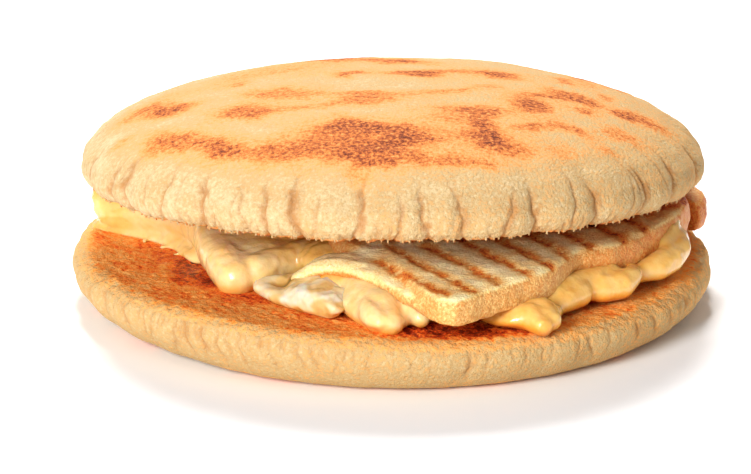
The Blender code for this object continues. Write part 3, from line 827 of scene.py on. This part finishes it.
def cheeseMaterial(name, stops):
    material, shader = newMaterial(name, {
        "Roughness": 0.26, "IOR": 1.46, "Subsurface Weight": 0.5, "Subsurface Scale": 0.004,
        "Subsurface Radius": (1.0, 0.6, 0.2), "Coat Weight": 0.5, "Coat Roughness": 0.07,
    })
    place = addNode(material, "ShaderNodeTexCoord").outputs["Object"]
    # the depth attribute holds painted shade as well as golden tone
    depth = addNode(material, "ShaderNodeAttribute", {"attribute_name": "depth"}).outputs["Fac"]
    cloud = addNode(
        material, "ShaderNodeTexNoise",
        {"Scale": perMetre(cheese["cloud"]), "Detail": 3.0, "Roughness": 0.55}, {"Vector": place},
    ).outputs["Fac"]
    swing = addNode(
        material, "ShaderNodeMath",
        {"operation": "MULTIPLY_ADD", 1: cheese["cloudSwing"], 2: -0.5 * cheese["cloudSwing"]}, {0: cloud},
    ).outputs[0]
    total = addNode(material, "ShaderNodeMath", {"operation": "ADD"}, {0: depth, 1: swing}).outputs[0]
    melted = addNode(material, "ShaderNodeValToRGB", links={"Fac": total}, stops=stops).outputs["Color"]
    material.node_tree.links.new(melted, shader.inputs["Base Color"])
    # ripples where it bubbled and set
    ripple = addNode(
        material, "ShaderNodeTexNoise",
        {"Scale": perMetre(cheese["fine"]), "Detail": 3.0, "Roughness": 0.5}, {"Vector": place},
    ).outputs["Fac"]
    skin = addNode(
        material, "ShaderNodeBump",
        {"Strength": 0.6, "Distance": cheese["fineDepth"] * mm}, {"Height": ripple},
    ).outputs[0]
    material.node_tree.links.new(skin, shader.inputs["Normal"])
    return material


def leftGoldAndShade(x, y, z):
    # painted shade, golden towards the upper half's edge and high on the film's far end, where the upper half
    # shades them; also deeper low on the large drip and at the far left
    behind = y + 41.5 + 0.88 * x
    slab = 0.22 * softStep(behind, -17, -6) + 0.4 * softStep(behind, -5, 2)
    film = 0.06 + 0.45 * softStep(z, 19, 26)
    right = softStep(x, -50, -41)
    low = (1.0 - softStep(z, 13.0, 16.5)) * softStep(x, -46, -40)
    return slab * right + film * (1.0 - right) + 0.3 * low + 0.15 * softStep(-x, 60, 66)


def underGoldAndShade(x, y, z):
    # painted shade: deeper to the right, where the light falls off, and in the hollow beside the curd; also
    # deeper low on each drip
    low = 1.0 - softStep(z, 12.4, 15.6)
    hollow = softStep(-x, 6, 11) * softStep(y, -50, -44)
    return 0.22 * softStep(x, 8, 28) + 0.45 * low + 0.5 * hollow


def makeCheese():
    material = cheeseMaterial("meltedYellowCheese", cheese["stops"])
    for nodeName, pieceName, seed, depth in (
        ("cheese_left", "cheeseLeft", 41, leftGoldAndShade), ("cheese_under_slice", "cheeseUnder", 51, underGoldAndShade),
    ):
        blobs = [blob for each in cheeseRuns[pieceName] for blob in each]
        piece = finerCopy(nodeName, pieceName, cheese["cell"], cheese["smoothing"], blobs)
        places, outward = placesOf(piece), outwardOf(piece)
        move = cheese["soft"] * grain(places, 5.5, seed)
        # bubbled in patches, so that its highlights break up
        bubbled = softStep(grain(places, 7.0, seed + 2), -0.15, 0.3)
        move += cheese["ripple"] * (0.3 + bubbled) * grain(places, 1.7, seed + 1)
        if pieceName == "cheeseLeft":
            folds = cheese["filmFolds"] * grain(places, 2.2, seed=43)
            folds += cheese["filmLumps"] * grain(places, 4.5, seed=44)
            move += folds * softStep(-places[:, 0], 42, 50)
        places += outward * (move * softStep(outward[:, 2], -0.6, 0.2))[:, None]
        setPlaces(piece, places)
        # depth here is mostly painted shade: near the upper half's edge, to the right and in hollows
        paint(piece, "depth", cheese["paleness"] + depth(*places.T))
        finish(piece, nodeName, material)


# Soft white cheese: a wet curd, whitest on its crests, with painted shade in its folds' hollows and in a pit
# where it bubbled.

whiteCurd = {
    "cell": 0.45, "smoothing": 9, "rest": 13.6, "flatten": 0.66,
    "pit": (-25.0, -43.0), "pitWidth": 2.2, "pitDepth": 1.4, "folds": 0.45, "grains": 0.25,
    "tone": 0.13, "pitShade": 0.75, "foldShade": 0.3, "lowTone": 0.35,
    "runs": (
        run([(-29, -40, 16.0, 2.8), (-25, -45.5, 15.6, 3.0), (-19, -50, 15.2, 3.2), (-14, -54.5, 14.6, 2.4)]),
        run([(-28, -39, 17.0, 2.6), (-22, -39.5, 18.6, 2.4), (-16, -43, 19.0, 2.6)]),
        [((-21, -42.5, 19.5), (4.0, 3.0, 3.2)), ((-11, -50, 17.0), (4.5, 4.0, 3.6))],
    ),
    "stops": ((0.0, "#e2e6d8"), (0.2, "#e4d2a4"), (0.42, "#e0bc76"), (0.7, "#c89344"), (1.0, "#75602e")),
}


def makeWhiteCurd():
    blobs = [blob for each in whiteCurd["runs"] for blob in each]
    piece = finerCopy("white_cheese", "whiteCurd", whiteCurd["cell"], whiteCurd["smoothing"], blobs)
    places, outward = placesOf(piece), outwardOf(piece)
    # it lies lower than the fold that drapes over it
    places[:, 2] = whiteCurd["rest"] + (places[:, 2] - whiteCurd["rest"]) * whiteCurd["flatten"]
    pitX, pitY = whiteCurd["pit"]
    away = np.hypot(places[:, 0] - pitX, 0.8 * (places[:, 1] - pitY)) / whiteCurd["pitWidth"]
    pit = np.exp(-(away ** 2)) * softStep(outward[:, 2], -0.2, 0.4)
    folds = grain(places, (3.4, 3.4, 2.6), seed=61)
    move = whiteCurd["folds"] * folds + whiteCurd["grains"] * grain(places, 1.3, seed=62)
    move -= whiteCurd["pitDepth"] * pit
    places += outward * (move * softStep(outward[:, 2], -0.8, 0.0))[:, None]
    setPlaces(piece, places)
    low = 1.0 - softStep(places[:, 2], 13.0, 15.5)
    # painted shade in the pit and in the hollows of the folds; darker near the bottom too
    depth = whiteCurd["tone"] + whiteCurd["pitShade"] * pit + whiteCurd["lowTone"] * low
    paint(piece, "depth", depth + whiteCurd["foldShade"] * softStep(-folds, -0.1, 0.4))
    finish(piece, "white_cheese", cheeseMaterial("wetWhiteCurd", whiteCurd["stops"]))


# Torn crumb that hangs in fine teeth along the upper half's cut edge, pale with some toasted tips

crumbs = {
    "count": 2400, "length": (0.35, 0.85), "width": (0.2, 0.4), "lean": 24.0, "aside": 25.0, "sink": 0.12,
    # the one tooth that is copied
    "corners": 5, "topRadius": 0.5, "tipRadius": 0.14, "size": 1.0, "hang": 0.4,
    # which of the crust's points are its cut edge, and where on it the teeth are set
    "edgeHeight": 0.1, "edgeReach": 0.45, "edgeRadius": 66.0, "edgeOutward": 0.4,
    "aimRadius": 73.5, "aimHeight": (-0.3, 0.5),
    "rootTone": 0.12, "paleTone": (0.1, 0.3), "toastedTone": (0.6, 0.9), "paleShare": 0.75,
}


def crumbTooth():
    # a rough five-sided wedge a millimetre long that hangs from the origin: its points and faces
    bpy.ops.object.select_all(action="DESELECT")
    bpy.ops.mesh.primitive_cone_add(
        vertices=crumbs["corners"], radius1=crumbs["topRadius"] * mm, radius2=crumbs["tipRadius"] * mm,
        depth=crumbs["size"] * mm,
    )
    tooth = bpy.context.object
    bpy.ops.object.mode_set(mode="EDIT")
    bpy.ops.transform.rotate(value=math.pi, orient_axis="X", center_override=(0, 0, 0))
    bpy.ops.transform.translate(value=(0, 0, -crumbs["hang"] * mm))
    bpy.ops.object.mode_set(mode="OBJECT")
    shape = placesOf(tooth)
    faces = [tuple(face.vertices) for face in tooth.data.polygons]
    bpy.data.objects.remove(tooth)
    return shape, faces


def cutEdge(upper):
    # the cut edge's own points, so that each tooth grows out of the crust
    flat, outward = upperPlaces(placesOf(upper)), outwardOf(upper)
    outside = np.hypot(flat[:, 0], flat[:, 1]) > crumbs["edgeRadius"]
    level = np.abs(flat[:, 2] - crumbs["edgeHeight"]) < crumbs["edgeReach"]
    edge = np.flatnonzero(level & outside & (outward[:, 2] < crumbs["edgeOutward"]))
    tree = kdtree.KDTree(len(edge))
    for i, at in enumerate(edge):
        tree.insert(flat[at], i)
    tree.balance()
    return tree


def makeRimCrumbs(upper, material):
    shape, faces = crumbTooth()
    tree = cutEdge(upper)
    chance = random.Random(77)
    back = np.array(Matrix.Rotation(math.radians(-tilt["degrees"]), 3, "X"))
    allPlaces, allFaces, tips = [], [], []
    for i in range(crumbs["count"]):
        around = math.radians(chance.uniform(0, 360))
        out = Vector((math.sin(around), -math.cos(around), 0))
        sideways = Vector((math.cos(around), math.sin(around), 0))
        aim = out * crumbs["aimRadius"] + Vector((0, 0, chance.uniform(*crumbs["aimHeight"])))
        root = tree.find(aim)[0]
        wide, long = chance.uniform(*crumbs["width"]), chance.uniform(*crumbs["length"])
        lean = math.radians(chance.uniform(-0.3, 1.0) * crumbs["lean"])
        aside = math.radians(chance.uniform(-crumbs["aside"], crumbs["aside"]))
        spin = Matrix.Rotation(chance.uniform(0, 6.28), 3, "Z")
        turn = Matrix.Rotation(lean, 3, sideways) @ Matrix.Rotation(aside, 3, out) @ spin
        sized = shape * np.array((wide, wide * chance.uniform(0.7, 1.3), long))
        placed = sized @ np.array(turn).T + np.array(root) + np.array((0, 0, crumbs["sink"]))
        first = len(allPlaces) * len(shape)
        allFaces += [tuple(first + corner for corner in face) for face in faces]
        allPlaces.append(placed @ back.T + np.array(tilt["centre"]))
        tipTone = crumbs["paleTone"] if chance.random() < crumbs["paleShare"] else crumbs["toastedTone"]
        tips.append(np.where(shape[:, 2] < -0.5, chance.uniform(*tipTone), crumbs["rootTone"]))
    mesh = bpy.data.meshes.new("rimCrumbs")
    mesh.from_pydata((np.concatenate(allPlaces) * mm).tolist(), [], allFaces)
    piece = bpy.data.objects.new("rimCrumbs", mesh)
    bpy.context.collection.objects.link(piece)
    paint(piece, "browning", np.concatenate(tips))
    paint(piece, "creaseShadeAndTint", np.zeros(len(mesh.vertices)))
    mesh.materials.append(material)
    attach(piece, "root")
    print(piece.name, len(mesh.polygons), "faces")


setUpStudio()
upper, upperCrust = makeUpperHalf()
makeLowerHalf()
makeSlices()
makeCheese()
makeWhiteCurd()
makeRimCrumbs(upper, upperCrust)
